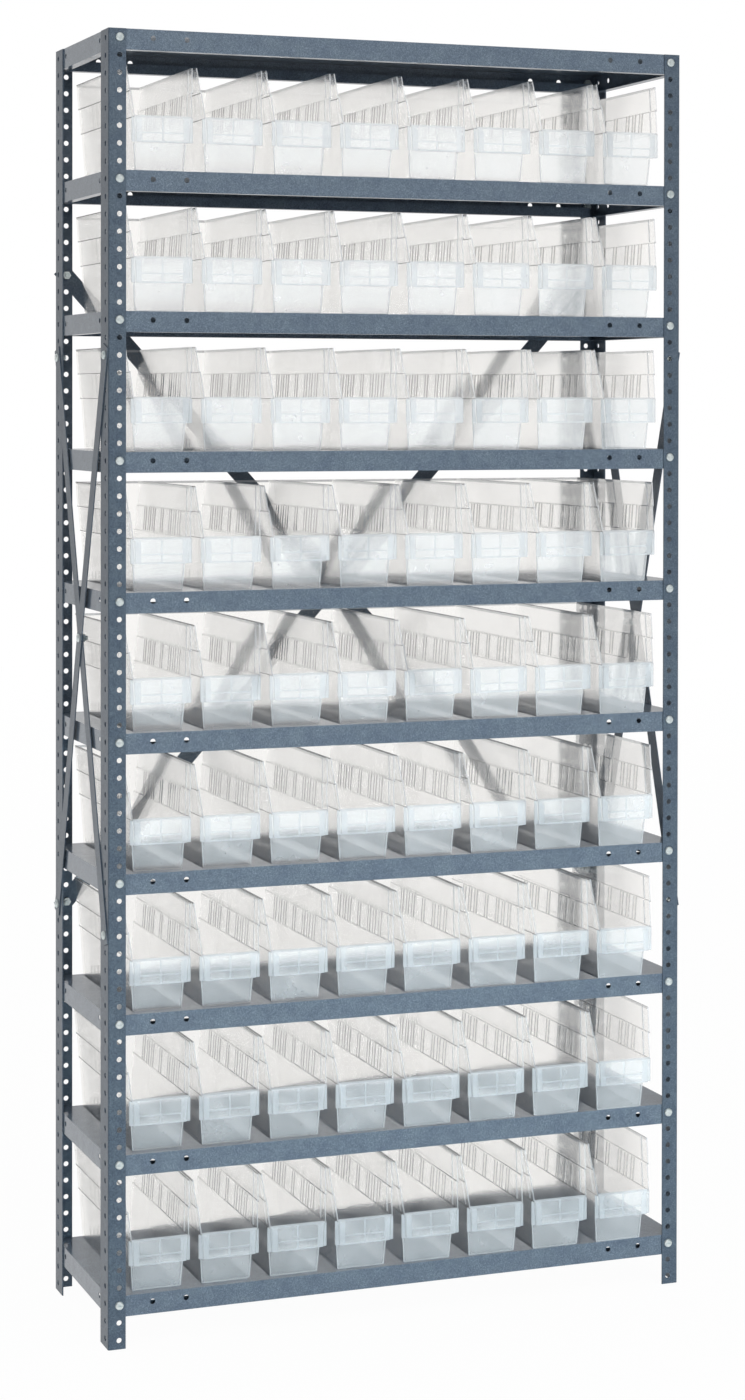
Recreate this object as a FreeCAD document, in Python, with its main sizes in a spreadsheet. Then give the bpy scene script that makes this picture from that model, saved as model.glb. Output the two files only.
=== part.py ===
# Open steel shelving unit with ten shelves and nine rows of eight clear shelf bins.
#
# X runs to the right, Y to the rear and Z up, in millimetres. The origin lies on the floor, at the middle of
# the footprint of the four posts. The posts are punched angles, the shelves are folded pans bolted inside
# them, crossed straps brace the two sides and the back, and the bins stand loose on the shelves.
import FreeCAD, Part

import os
import re

import Sketcher
from FreeCAD import Placement, Rotation, Vector

# Driving dimensions. Lengths are in millimetres and the draft is in degrees.
SIZES = {
    # Punched angle posts
    "unit_width": 914.4,
    "unit_depth": 304.8,
    "post_holes": 75,
    "hole_pitch": 25.4,
    "hole_diameter": 7.9,
    "post_sheet": 1.9,
    "post_face_width": 26.2,
    "post_side_width": 42.0,
    "post_bend_radius": 2.5,
    "hole_inset_face": 16.5,
    "hole_inset_side": 16.8,
    # Folded shelves
    "shelf_count": 10,
    "shelf_spacing_holes": 8,
    "shelf_sheet": 0.9,
    "shelf_flange": 30.2,
    "shelf_lip": 14.0,
    "shelf_lip_rise": 15.4,
    "shelf_corner_radius": 1.5,
    "shelf_hole_drop": 12.7,
    "shelf_face_hole_step": 50.8,
    "shelf_side_hole_step": 38.1,
    # Crossed straps, bolted a few holes below a shelf
    "strap_width": 25.4,
    "strap_sheet": 1.5,
    "strap_end": 14.0,
    "strap_end_flat": 26.0,
    "strap_cross_margin": 4.0,
    "back_strap_top_shelf": 1,
    "back_strap_top_drop": 5,
    "side_strap_top_shelf": 2,
    "side_strap_top_drop": 2,
    "strap_low_shelf": 6,
    "strap_low_drop": 3,
    # Pan-head bolts and hexagon nuts
    "bolt_diameter": 6.35,
    "bolt_length": 12.7,
    "bolt_head_diameter": 12.7,
    "bolt_head_height": 3.4,
    "bolt_head_round": 2.4,
    "bolt_slot_width": 1.6,
    "bolt_slot_depth": 1.1,
    "nut_across_flats": 11.1,
    "nut_thickness": 5.6,
    "nut_clearance": 0.3,
    # Clear shelf bins
    "bin_count": 8,
    "bin_length": 295.0,
    "bin_headroom": 20.6,
    "bin_gap": 3.0,
    "bin_wall": 2.0,
    "bin_draft": 4.15,
    "bin_step": 1.5,
    "bin_top_band": 37.4,
    "bin_middle_band": 37.5,
    "bin_top_setback": 20.0,
    "bin_middle_setback": 10.0,
    "panel_height": 36.3,
    "panel_width": 92.7,
    "panel_reach_bottom": 19.0,
    "panel_reach_top": 16.0,
    # Places of the bins, which stand by hand: the free width left and right of a row, in the top and the
    # bottom row, the room behind the leftmost bin, and the step forward from each bin to the next
    "row_gap_top": 4.3,
    "row_gap_bottom": 0.8,
    "row_room_top": 13.7,
    "row_room_bottom": 23.9,
    "row_back_gap": 9.3,
    "row_skew": 2.4,
}

# Sizes that follow from the driving dimensions.
DERIVED = {
    "post_height": "post_holes * hole_pitch",
    "face_hole_x": "(unit_width / 2 - hole_inset_face)",
    "side_hole_y": "(unit_depth / 2 - hole_inset_side)",
    "shelf_width": "(unit_width - 2 * post_sheet)",
    "shelf_depth": "(unit_depth - 2 * post_sheet)",
    "bin_height": "(hole_pitch * shelf_spacing_holes - shelf_flange - bin_headroom)",
    "upper_ledge": "(bin_height - bin_top_band)",
    "lower_ledge": "(upper_ledge - bin_middle_band)",
    "panel_bottom": "(lower_ledge - panel_height)",
    "clear_half": "(unit_width / 2 - post_face_width)",
    "row_width_bottom": "(2 * clear_half - row_gap_bottom - row_room_bottom)",
    "bin_width": "((row_width_bottom - (bin_count - 1) * bin_gap) / bin_count)",
    "bin_front": "(unit_depth / 2 - row_back_gap - bin_length)",
}

# Turn about Z that brings a piece made for the front, with its outside towards -Y, to each side.
FACING = {"front": 0, "right": 90, "rear": 180, "left": -90}

# How far cutting shapes run past the solid that they cut.
OVERRUN = 5.0

doc = FreeCAD.newDocument("ShelvingUnit")


def make_sheet():
    """Write the driving dimensions into the spreadsheet, one named cell each."""
    sheet = doc.addObject("Spreadsheet::Sheet", "Sizes")
    for row, (name, value) in enumerate(SIZES.items(), start=1):
        sheet.set(f"A{row}", name.replace("_", " "))
        sheet.set(f"B{row}", str(value))
        sheet.setAlias(f"B{row}", name)
    doc.recompute()
    return sheet


def formula(text):
    """Turn plain names into an expression on the spreadsheet."""

    def replace(match):
        name = match.group(0)
        if name in DERIVED:
            return formula(DERIVED[name])
        if name in SIZES:
            return f"Sizes.{name}"
        return name

    return re.sub(r"[a-z]+(?:_[a-z]+)*", replace, text)


def value_of(text):
    """The number that a formula gives with the sizes in the spreadsheet."""
    return float(sheet.evalExpression(formula(text)))


def bind(thing, path, text):
    thing.setExpression(path, formula(text))


def plane_of(body, role):
    return next(item for item in body.Origin.OriginFeatures if item.Role == role)


def new_sketch(body, role, name, offset="0"):
    """A sketch on one of the body's own planes, moved along that plane's normal."""
    sketch = body.newObject("Sketcher::SketchObject", name)
    sketch.AttachmentSupport = (plane_of(body, role), [""])
    sketch.MapMode = "FlatFace"
    bind(sketch, "AttachmentOffset.Base.z", offset)
    return sketch


def fix_point(sketch, geometry, vertex, corner):
    """Hold a vertex at the two formulas of a corner, measured from the sketch's origin."""
    for kind, text in zip(("DistanceX", "DistanceY"), corner):
        index = sketch.addConstraint(Sketcher.Constraint(kind, -1, 1, geometry, vertex, value_of(text)))
        bind(sketch, f"Constraints[{index}]", text)


def add_polygon(sketch, corners):
    """A closed outline through corners that are pairs of formulas."""
    points = [Vector(value_of(across), value_of(up), 0) for across, up in corners]
    first = sketch.GeometryCount
    for start, end in zip(points, points[1:] + points[:1]):
        sketch.addGeometry(Part.LineSegment(start, end), False)
    for number in range(len(points)):
        following = (number + 1) % len(points)
        sketch.addConstraint(Sketcher.Constraint("Coincident", first + number, 2, first + following, 1))
    for number, corner in enumerate(corners):
        fix_point(sketch, first + number, 1, corner)


def add_rectangle(sketch, left, bottom, right, top):
    add_polygon(sketch, [(left, bottom), (right, bottom), (right, top), (left, top)])


def add_circle(sketch, across, up, diameter):
    centre = Vector(value_of(across), value_of(up), 0)
    circle = Part.Circle(centre, Vector(0, 0, 1), value_of(diameter) / 2)
    geometry = sketch.addGeometry(circle, False)
    fix_point(sketch, geometry, 3, (across, up))
    index = sketch.addConstraint(Sketcher.Constraint("Diameter", geometry, value_of(diameter)))
    bind(sketch, f"Constraints[{index}]", diameter)


def pad(body, sketch, length, reverse=False, midplane=False):
    feature = body.newObject("PartDesign::Pad", f"{sketch.Name}Pad")
    feature.Profile = sketch
    bind(feature, "Length", length)
    feature.Reversed = reverse
    feature.Midplane = midplane
    doc.recompute()
    return feature


def pocket(body, sketch, depth=None, reverse=False):
    """Cut the sketch to a depth, or right through both ways where no depth is given."""
    before = body.Shape.Volume
    feature = body.newObject("PartDesign::Pocket", f"{sketch.Name}Pocket")
    feature.Profile = sketch
    if depth is None:
        feature.Type = "ThroughAll"
        feature.Midplane = True
    else:
        bind(feature, "Length", depth)
        feature.Reversed = reverse
    doc.recompute()
    if not body.Shape.Volume < before:
        raise RuntimeError(f"{feature.Name} cuts nothing")
    return feature


def fillet(body, feature, edges, radius):
    rounded = body.newObject("PartDesign::Fillet", f"{feature.Name}Fillet")
    rounded.Base = (feature, edges)
    bind(rounded, "Radius", radius)
    doc.recompute()
    return rounded


def edges_where(shape, test):
    return [f"Edge{number}" for number, edge in enumerate(shape.Edges, start=1) if test(edge)]


def is_upright(edge):
    start, end = edge.Vertexes[0].Point, edge.Vertexes[-1].Point
    return abs(start.x - end.x) < 1e-6 and abs(start.y - end.y) < 1e-6


def repeat_up(body, cut, sketch, count, spacing):
    """Repeat a cut upwards, the way a punch press steps along a strip."""
    pattern = body.newObject("PartDesign::LinearPattern", f"{cut.Name}Row")
    pattern.Originals = [cut]
    pattern.Direction = (sketch, ["V_Axis"])
    bind(pattern, "Occurrences", count)
    bind(pattern, "Length", f"({count} - 1) * {spacing}")
    body.Tip = pattern
    doc.recompute()
    return pattern


def make_post():
    """An angle with its outer corner at the origin and its legs along +X and +Y, punched in both legs."""
    body = doc.addObject("PartDesign::Body", "Post")
    section = new_sketch(body, "XY_Plane", "PostSection")
    add_polygon(section, [
        ("0", "0"),
        ("post_face_width", "0"),
        ("post_face_width", "post_sheet"),
        ("post_sheet", "post_sheet"),
        ("post_sheet", "post_side_width"),
        ("0", "post_side_width"),
    ])
    angle = pad(body, section, "post_height")
    corner = edges_where(angle.Shape, lambda edge: is_upright(edge) and edge.Vertexes[0].Point.Length < 1e-6
                         or is_upright(edge) and edge.Vertexes[-1].Point.Length < 1e-6)
    fillet(body, angle, corner, "post_bend_radius")
    legs = (("XZ_Plane", "PostFaceHole", "hole_inset_face"), ("YZ_Plane", "PostSideHole", "hole_inset_side"))
    for role, name, inset in legs:
        hole = new_sketch(body, role, name)
        add_circle(hole, inset, "hole_pitch / 2", "hole_diameter")
        cut = pocket(body, hole)
        repeat_up(body, cut, hole, "post_holes", "hole_pitch")
    return body


def make_shelf():
    """A pan with its top at Z 0, four flanges, a lip turned in all round and upturned lips front and rear."""
    body = doc.addObject("PartDesign::Body", "Shelf")
    half_width = "shelf_width / 2"
    half_depth = "shelf_depth / 2"
    outline = new_sketch(body, "XY_Plane", "ShelfOutline")
    add_rectangle(outline, f"-{half_width}", f"-{half_depth}", half_width, half_depth)
    block = pad(body, outline, "shelf_flange", reverse=True)
    fillet(body, block, edges_where(block.Shape, is_upright), "shelf_corner_radius")

    inner_x = f"({half_width} - shelf_sheet)"
    inner_y = f"({half_depth} - shelf_sheet)"
    hollow = new_sketch(body, "XY_Plane", "ShelfHollow", "-shelf_flange")
    add_rectangle(hollow, f"-{inner_x}", f"-{inner_y}", inner_x, inner_y)
    pocket(body, hollow, "shelf_flange - shelf_sheet", reverse=True)

    face_holes = new_sketch(body, "XZ_Plane", "ShelfFaceHoles")
    for side in ("-1", "1"):
        for step in ("0", "1", "2"):
            across = f"{side} * (face_hole_x - {step} * shelf_face_hole_step)"
            add_circle(face_holes, across, "-shelf_hole_drop", "hole_diameter")
    pocket(body, face_holes)
    side_holes = new_sketch(body, "YZ_Plane", "ShelfSideHoles")
    for side in ("-1", "1"):
        for step in ("0", "1"):
            across = f"{side} * (side_hole_y - {step} * shelf_side_hole_step)"
            add_circle(side_holes, across, "-shelf_hole_drop", "hole_diameter")
    pocket(body, side_holes)

    lip_x = f"({half_width} - shelf_lip)"
    lip_y = f"({half_depth} - shelf_lip)"
    lip = new_sketch(body, "XY_Plane", "ShelfLip", "-shelf_flange")
    add_rectangle(lip, f"-{inner_x}", f"-{inner_y}", inner_x, inner_y)
    add_rectangle(lip, f"-{lip_x}", f"-{lip_y}", lip_x, lip_y)
    pad(body, lip, "shelf_sheet")
    rise = new_sketch(body, "XY_Plane", "ShelfLipRise", "-shelf_flange")
    rise_y = f"({lip_y} + shelf_sheet)"
    add_rectangle(rise, f"-{lip_x}", f"-{rise_y}", lip_x, f"-{lip_y}")
    add_rectangle(rise, f"-{lip_x}", lip_y, lip_x, rise_y)
    pad(body, rise, "shelf_lip_rise")
    return body


def make_strap(name, run, rise, crosses_outside, middle_hole):
    """A strap along X with its outside towards -Y. The outer one of a pair steps over the inner one."""
    body = doc.addObject("PartDesign::Body", name)
    span = f"sqrt(({run}) ^ 2 + ({rise}) ^ 2)"
    end = f"({span} / 2 + strap_end)"
    step_out = f"({span} / 2 - strap_end_flat)"
    middle = f"(strap_width / 2 * max({rise} / ({run}); ({run}) / ({rise})) + strap_cross_margin)"
    side = new_sketch(body, "XY_Plane", f"{name}Side")
    if crosses_outside:
        add_polygon(side, [
            (f"-{end}", "0"),
            (f"-{step_out}", "0"),
            (f"-{middle}", "-strap_sheet"),
            (middle, "-strap_sheet"),
            (step_out, "0"),
            (end, "0"),
            (end, "-strap_sheet"),
            (step_out, "-strap_sheet"),
            (middle, "-2 * strap_sheet"),
            (f"-{middle}", "-2 * strap_sheet"),
            (f"-{step_out}", "-strap_sheet"),
            (f"-{end}", "-strap_sheet"),
        ])
    else:
        add_rectangle(side, f"-{end}", "-strap_sheet", end, "0")
    pad(body, side, "strap_width", midplane=True)
    holes = new_sketch(body, "XZ_Plane", f"{name}Holes")
    for across in (f"-{span} / 2", f"{span} / 2"):
        add_circle(holes, across, "0", "hole_diameter")
    if middle_hole:
        add_circle(holes, "0", "0", "hole_diameter")
    pocket(body, holes)
    return body


def make_bolt():
    """A slotted pan-head bolt along Y, seated at Y 0 with its head towards -Y."""
    body = doc.addObject("PartDesign::Body", "Bolt")
    head = new_sketch(body, "XZ_Plane", "BoltHead")
    add_circle(head, "0", "0", "bolt_head_diameter")
    disc = pad(body, head, "bolt_head_height")
    front = edges_where(disc.Shape, lambda edge: edge.BoundBox.YMax < -1e-3)
    fillet(body, disc, front, "bolt_head_round")
    slot = new_sketch(body, "XZ_Plane", "BoltSlot", "bolt_head_height")
    reach = "bolt_head_diameter / 2"
    add_rectangle(slot, f"-{reach}", "-bolt_slot_width / 2", reach, "bolt_slot_width / 2")
    pocket(body, slot, "bolt_slot_depth")
    shank = new_sketch(body, "XZ_Plane", "BoltShank")
    add_circle(shank, "0", "0", "bolt_diameter")
    pad(body, shank, "bolt_length", reverse=True)
    return body


def make_nut():
    """A hexagon nut along Y, seated at Y 0 and reaching towards +Y."""
    body = doc.addObject("PartDesign::Body", "Nut")
    hexagon = new_sketch(body, "XZ_Plane", "NutHexagon")
    radius = "nut_across_flats / 2 / cos(30)"
    add_polygon(hexagon, [(f"{radius} * cos({turn})", f"{radius} * sin({turn})") for turn in range(0, 360, 60)])
    add_circle(hexagon, "0", "0", "bolt_diameter + nut_clearance")
    pad(body, hexagon, "nut_thickness", reverse=True)
    return body


def bin_half_widths(inset):
    """Half widths of the drafted, stepped bin wall, from the top down, moved in by the inset."""
    slope = "tan(bin_draft)"
    top = f"(bin_width / 2 - {inset})"
    above_upper = f"({top} - bin_top_band * {slope})"
    below_upper = f"({above_upper} - bin_step)"
    above_lower = f"({below_upper} - bin_middle_band * {slope})"
    below_lower = f"({above_lower} - bin_step)"
    base = f"({below_lower} - lower_ledge * {slope})"
    return top, above_upper, below_upper, above_lower, below_lower, base


def trim_bin_sides(body, name, inset, ledge_rise):
    """Cut a block's two sides to the stepped wall. The ledges rise by the wall on the inside."""
    top, above_upper, below_upper, above_lower, below_lower, base = bin_half_widths(inset)
    upper = f"upper_ledge + {ledge_rise}"
    lower = f"lower_ledge + {ledge_rise}"
    ceiling = f"bin_height + {OVERRUN}"
    outside = f"bin_width / 2 + {OVERRUN}"
    sketch = new_sketch(body, "XZ_Plane", f"{name}Sides")
    for side in ("-1", "1"):
        wall = [
            (outside, ceiling),
            (top, ceiling),
            (top, "bin_height"),
            (above_upper, upper),
            (below_upper, upper),
            (above_lower, lower),
            (below_lower, lower),
            (base, "0"),
            (base, f"-{OVERRUN}"),
            (outside, f"-{OVERRUN}"),
        ]
        add_polygon(sketch, [(f"{side} * ({across})", up) for across, up in wall])
    pocket(body, sketch)


def make_bin_block():
    """The bin without its hollow: X 0 at the middle, Y 0 at the label panel's face, Z 0 at the base."""
    body = doc.addObject("PartDesign::Body", "BinBlock")
    profile = new_sketch(body, "YZ_Plane", "BinProfile")
    add_polygon(profile, [
        ("panel_reach_bottom", "0"),
        ("bin_length", "0"),
        ("bin_length", "bin_height"),
        ("bin_top_setback", "bin_height"),
        ("bin_middle_setback", "upper_ledge"),
        ("0", "lower_ledge"),
        ("0", "panel_bottom"),
        ("panel_reach_top", "panel_bottom"),
    ])
    pad(body, profile, "bin_width", midplane=True)
    trim_bin_sides(body, "Bin", "0", "0")
    panel = new_sketch(body, "XZ_Plane", "BinPanel")
    add_rectangle(panel, "-panel_width / 2", "panel_bottom", "panel_width / 2", "lower_ledge")
    pad(body, panel, "bin_wall", reverse=True)
    return body


def make_bin_hollow():
    """The space inside a bin, open at the top and, above the label panel, at the front."""
    body = doc.addObject("PartDesign::Body", "BinHollow")
    profile = new_sketch(body, "YZ_Plane", "HollowProfile")
    back = "bin_length - bin_wall"
    ceiling = f"bin_height + {OVERRUN}"
    add_polygon(profile, [
        ("panel_reach_bottom + bin_wall", "bin_wall"),
        (back, "bin_wall"),
        (back, ceiling),
        (f"-{OVERRUN}", ceiling),
        (f"-{OVERRUN}", "lower_ledge"),
        ("bin_wall", "lower_ledge"),
        ("bin_wall", "panel_bottom + bin_wall"),
        ("panel_reach_top + bin_wall", "panel_bottom + bin_wall"),
    ])
    pad(body, profile, "bin_width", midplane=True)
    trim_bin_sides(body, "Hollow", "bin_wall", "bin_wall")
    return body


def make_bin():
    bin_shape = doc.addObject("Part::Cut", "Bin")
    bin_shape.Base = make_bin_block()
    bin_shape.Tool = make_bin_hollow()
    doc.recompute()
    return bin_shape


def copy_of(source, name, place, turn=Rotation()):
    """A linked copy of a piece, with its place as three formulas."""
    link = doc.addObject("App::Link", name)
    link.LinkedObject = source
    link.Placement = Placement(Vector(), turn)
    for axis, text in zip("xyz", place):
        bind(link, f"Placement.Base.{axis}", text)
    return link


def node(label, pieces, place=("0", "0", "0"), turn=Rotation()):
    """A sub-part of the unit, which holds one or more pieces at a place given as three formulas."""
    compound = doc.addObject("Part::Compound", "Node")
    compound.Label = label
    compound.Links = pieces
    compound.Placement = Placement(Vector(), turn)
    for axis, text in zip("xyz", place):
        bind(compound, f"Placement.Base.{axis}", text)
    nodes.append(compound)
    return compound


def shelf_hole(shelf):
    """Height of the holes that a shelf is bolted to. Shelf 0 is the top one."""
    return f"((post_holes - {shelf} * shelf_spacing_holes - 0.5) * hole_pitch)"


def shelf_top(shelf):
    return f"({shelf_hole(shelf)} + shelf_hole_drop)"


def hole_below(shelf, drop):
    return f"({shelf_hole(shelf)} - {drop} * hole_pitch)"


def place_posts(post):
    """One post serves all four corners, because turning it upside down makes the other hand."""
    right, rear = "unit_width / 2", "unit_depth / 2"
    about_x, about_y, about_z = (Rotation(axis, 180) for axis in (Vector(1, 0, 0), Vector(0, 1, 0), Vector(0, 0, 1)))
    node("post_front_left", [post], (f"-{right}", f"-{rear}", "0"))
    node("post_rear_right", [post], (right, rear, "0"), about_z)
    node("post_front_right", [post], (right, f"-{rear}", "post_height"), about_y)
    node("post_rear_left", [post], (f"-{right}", rear, "post_height"), about_x)


def place_shelves(shelf):
    count = int(value_of("shelf_count"))
    for number in range(count):
        node(f"shelf_{count - number:02d}", [shelf], ("0", "0", shelf_top(number)))


def place_strap_pair(side, name, run, rise, middle, edge, middle_hole):
    """Two crossed straps on one side of the unit, with the outer one tilted the other way."""
    turn = Rotation(Vector(0, 0, 1), FACING[side])
    outward = turn.multVec(Vector(0, -1, 0))
    place = (f"{round(outward.x)} * ({edge})", f"{round(outward.y)} * ({edge})", middle)
    for layer, sign, crosses_outside in (("inner", "1", False), ("outer", "-1", True)):
        strap = make_strap(f"{name}{layer.capitalize()}", run, rise, crosses_outside, middle_hole)
        tilted = copy_of(strap, f"{name}{layer.capitalize()}Tilt", ("0", "0", "0"), Rotation(Vector(0, 1, 0), 1))
        bind(tilted, "Placement.Rotation.Angle", f"{sign} * atan2({rise}; {run})")
        node(f"{side}_strap_{layer}", [tilted], place, turn)


def fasten(side, seat, across, up, grip, bolts, nuts):
    """Add a bolt and its nut on one side: across runs along that side and seat is the bolt head's plane."""
    turn = Rotation(Vector(0, 0, 1), FACING[side])
    outward = turn.multVec(Vector(0, -1, 0))
    along = turn.multVec(Vector(1, 0, 0))
    for source, depth, pieces in ((bolt, "0", bolts), (nut, grip, nuts)):
        reach = f"({seat} - {depth})"
        x = f"{round(outward.x)} * {reach} + {round(along.x)} * ({across})"
        y = f"{round(outward.y)} * {reach} + {round(along.y)} * ({across})"
        pieces.append(copy_of(source, f"{source.Name}Copy", (x, y, up), turn))


def place_shelf_fasteners():
    bolts, nuts = [], []
    for number in range(int(value_of("shelf_count"))):
        for side in ("front", "rear"):
            for sign in ("-1", "1"):
                across = f"{sign} * face_hole_x"
                grip = "(post_sheet + shelf_sheet)"
                fasten(side, "unit_depth / 2", across, shelf_hole(number), grip, bolts, nuts)
    node("shelf_bolts", bolts)
    node("shelf_nuts", nuts)


def place_braces():
    """Crossed straps on the back and on both sides, bolted to the posts and, on the sides, where they cross.

    The back straps cross right behind a shelf's flange, which leaves no room for a bolt there.
    """
    bolts, nuts = [], []
    low = hole_below("strap_low_shelf", "strap_low_drop")
    back_top = hole_below("back_strap_top_shelf", "back_strap_top_drop")
    side_top = hole_below("side_strap_top_shelf", "side_strap_top_drop")
    sides = (
        ("rear", "RearStrap", back_top, "face_hole_x", "unit_depth / 2", False),
        ("left", "LeftStrap", side_top, "side_hole_y", "unit_width / 2", True),
        ("right", "RightStrap", side_top, "side_hole_y", "unit_width / 2", True),
    )
    for side, name, top, hole, edge, bolted_middle in sides:
        run = f"(2 * {hole})"
        rise = f"({top} - {low})"
        middle = f"(({top} + {low}) / 2)"
        place_strap_pair(side, name, run, rise, middle, edge, bolted_middle)
        for up in (top, low):
            for sign in ("-1", "1"):
                seat = f"({edge} + strap_sheet)"
                fasten(side, seat, f"{sign} * {hole}", up, "(strap_sheet + post_sheet)", bolts, nuts)
        if bolted_middle:
            fasten(side, f"({edge} + 2 * strap_sheet)", "0", middle, "(2 * strap_sheet)", bolts, nuts)
    node("brace_bolts", bolts)
    node("brace_nuts", nuts)


def place_bins(bin_shape):
    """Rows of bins in pairs, which draw out together. Row 1 stands on the lowest shelf."""
    rows = int(value_of("shelf_count")) - 1
    pairs = int(value_of("bin_count")) // 2
    for level in range(rows):
        share = f"({level} / (shelf_count - 2))"
        gap = f"(row_gap_top + (row_gap_bottom - row_gap_top) * {share})"
        room = f"(row_room_top + (row_room_bottom - row_room_top) * {share})"
        pitch = f"((2 * clear_half - {gap} - {room} - bin_width) / (bin_count - 1))"
        for pair in range(pairs):
            first = 2 * pair
            x = f"-clear_half + {gap} + bin_width / 2 + {first} * {pitch}"
            y = f"bin_front - {first} * row_skew"
            second = copy_of(bin_shape, "BinCopy", (pitch, "-row_skew", "0"))
            node(f"bins_row{rows - level}_pair{pair + 1}", [bin_shape, second], (x, y, shelf_top(level + 1)))


def check_document():
    """Stop if any object failed or any sub-part is empty or invalid."""
    doc.recompute()
    failed = [item.Name for item in doc.Objects if {"Invalid", "Error"} & set(item.State)]
    failed += [item.Label for item in nodes if item.Shape.isNull() or not item.Shape.isValid()]
    if failed:
        raise RuntimeError(f"failed objects: {failed}")


def write_parts():
    os.makedirs("parts", exist_ok=True)
    for item in nodes:
        item.Shape.exportStep(f"parts/{item.Label}.step")
        box = item.Shape.BoundBox
        print(f"{item.Label}: {len(item.Shape.Solids)} solids, {box.XLength:.1f} x {box.YLength:.1f} x {box.ZLength:.1f}")


nodes = []
sheet = make_sheet()
bolt = make_bolt()
nut = make_nut()
place_posts(make_post())
place_shelves(make_shelf())
place_shelf_fasteners()
place_braces()
place_bins(make_bin())
check_document()
write_parts()
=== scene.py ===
# %% [markdown]
# # A steel shelving unit with clear shelf bins
#
# The unit is an open frame of punched steel angles with ten folded shelves, and rows of clear
# plastic bins stand on nine of them. The steel comes ready made from the CAD frame, where its sizes
# and holes are exact, and gets its speckled enamel here. The bins are moulded plastic with thin
# ribs, rims and a label holder, which are quicker to shape as a Blender mesh, so each pair of bins
# in the frame gets a detailed piece in its place.

# %% Load the frame
import math

import bmesh
import bpy
from mathutils import Matrix, Vector


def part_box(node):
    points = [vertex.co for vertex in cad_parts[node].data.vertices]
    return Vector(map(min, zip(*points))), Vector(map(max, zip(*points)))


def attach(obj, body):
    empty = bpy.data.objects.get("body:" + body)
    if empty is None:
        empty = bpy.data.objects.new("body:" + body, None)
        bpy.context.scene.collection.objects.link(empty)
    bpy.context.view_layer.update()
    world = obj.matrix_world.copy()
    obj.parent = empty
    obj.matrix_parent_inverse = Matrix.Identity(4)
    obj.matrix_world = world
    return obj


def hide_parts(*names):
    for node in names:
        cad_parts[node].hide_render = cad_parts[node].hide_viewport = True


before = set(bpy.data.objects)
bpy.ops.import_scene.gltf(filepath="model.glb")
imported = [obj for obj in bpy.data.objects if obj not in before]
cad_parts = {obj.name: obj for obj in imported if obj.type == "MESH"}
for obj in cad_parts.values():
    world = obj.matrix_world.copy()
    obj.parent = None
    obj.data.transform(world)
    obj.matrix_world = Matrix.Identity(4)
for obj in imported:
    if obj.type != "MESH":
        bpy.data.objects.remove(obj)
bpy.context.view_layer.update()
print("steel nodes and bins in the frame:", len(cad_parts))

# %% [markdown]
# ## The camera
#
# The photograph looks at the unit from the left, with upright lines kept upright. A view camera
# does that by staying level and sliding its lens, and Blender's camera shift is the same thing. The
# place, the turn and the focal length below were fitted to the corner bolts and the ends of the
# braces.

# %% Place the camera
PHOTO_SIZE = (745, 1400)
FOCAL_PIXELS = 2791.7
LENS_CENTRE = (338.6, 427.7)
SENSOR_WIDTH = 36.0
CAMERA_PLACE = (-1.5297, -4.0310, 1.3700)
CAMERA_TURN = (89.4414, -0.0655, -20.1689)

camera_data = bpy.data.cameras.new("PhotoCamera")
camera = bpy.data.objects.new("PhotoCamera", camera_data)
bpy.context.scene.collection.objects.link(camera)
bpy.context.scene.camera = camera
camera.location = CAMERA_PLACE
camera.rotation_euler = [math.radians(angle) for angle in CAMERA_TURN]
camera_data.sensor_width = SENSOR_WIDTH
camera_data.lens = SENSOR_WIDTH * FOCAL_PIXELS / PHOTO_SIZE[1]
camera_data.shift_x = (PHOTO_SIZE[0] / 2 - LENS_CENTRE[0]) / PHOTO_SIZE[1]
camera_data.shift_y = (LENS_CENTRE[1] - PHOTO_SIZE[1] / 2) / PHOTO_SIZE[1]
shift = (round(camera_data.shift_x, 4), round(camera_data.shift_y, 4))
print("lens in mm:", round(camera_data.lens, 2), "shift:", shift)

# %% [markdown]
# ## A few helpers for materials
#
# Every finish here is a Principled shader with procedural nodes in front of it. Patterns read
# Object coordinates, so they stay fixed to the steel or the plastic and have one scale in metres
# all over the unit. Short helpers make the nodes, so that each finish below reads as a recipe.

# %% A new material and its noise
def new_finish(name):
    """A material with its Principled shader and a node that gives Object coordinates."""
    material = bpy.data.materials.new(name)
    material.use_nodes = True
    nodes, links = material.node_tree.nodes, material.node_tree.links
    shader = nodes["Principled BSDF"]
    place = nodes.new("ShaderNodeTexCoord").outputs["Object"]
    return material, nodes, links, shader, place


def noise(nodes, links, place, scale, detail=2.0, roughness=0.5):
    """Grey noise. A scale is the number of its patches in a metre, roughly."""
    texture = nodes.new("ShaderNodeTexNoise")
    texture.inputs["Scale"].default_value = scale
    texture.inputs["Detail"].default_value = detail
    texture.inputs["Roughness"].default_value = roughness
    links.new(place, texture.inputs["Vector"])
    return texture.outputs["Fac"]

# %% Colour helpers
def ramp(nodes, links, source, stops):
    """A colour ramp through (position, colour) stops, read from a grey source."""
    node = nodes.new("ShaderNodeValToRGB")
    while len(node.color_ramp.elements) < len(stops):
        node.color_ramp.elements.new(0.5)
    for element, (position, colour) in zip(node.color_ramp.elements, stops):
        element.position = position
        element.color = (*colour, 1.0)
    links.new(source, node.inputs["Fac"])
    return node.outputs["Color"]


def blend_colours(nodes, links, kind, factor, first, second):
    """Two colours mixed in the way that the blend mode names."""
    mix = nodes.new("ShaderNodeMix")
    mix.data_type = "RGBA"
    mix.blend_type = kind
    mix.inputs["Factor"].default_value = factor
    links.new(first, mix.inputs["A"])
    links.new(second, mix.inputs["B"])
    return mix.outputs["Result"]

# %% Number and bump helpers
def remap(nodes, links, source, low, high):
    """A value between zero and one, stretched to run from low to high."""
    node = nodes.new("ShaderNodeMapRange")
    node.inputs["To Min"].default_value = low
    node.inputs["To Max"].default_value = high
    links.new(source, node.inputs["Value"])
    return node.outputs["Result"]


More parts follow.
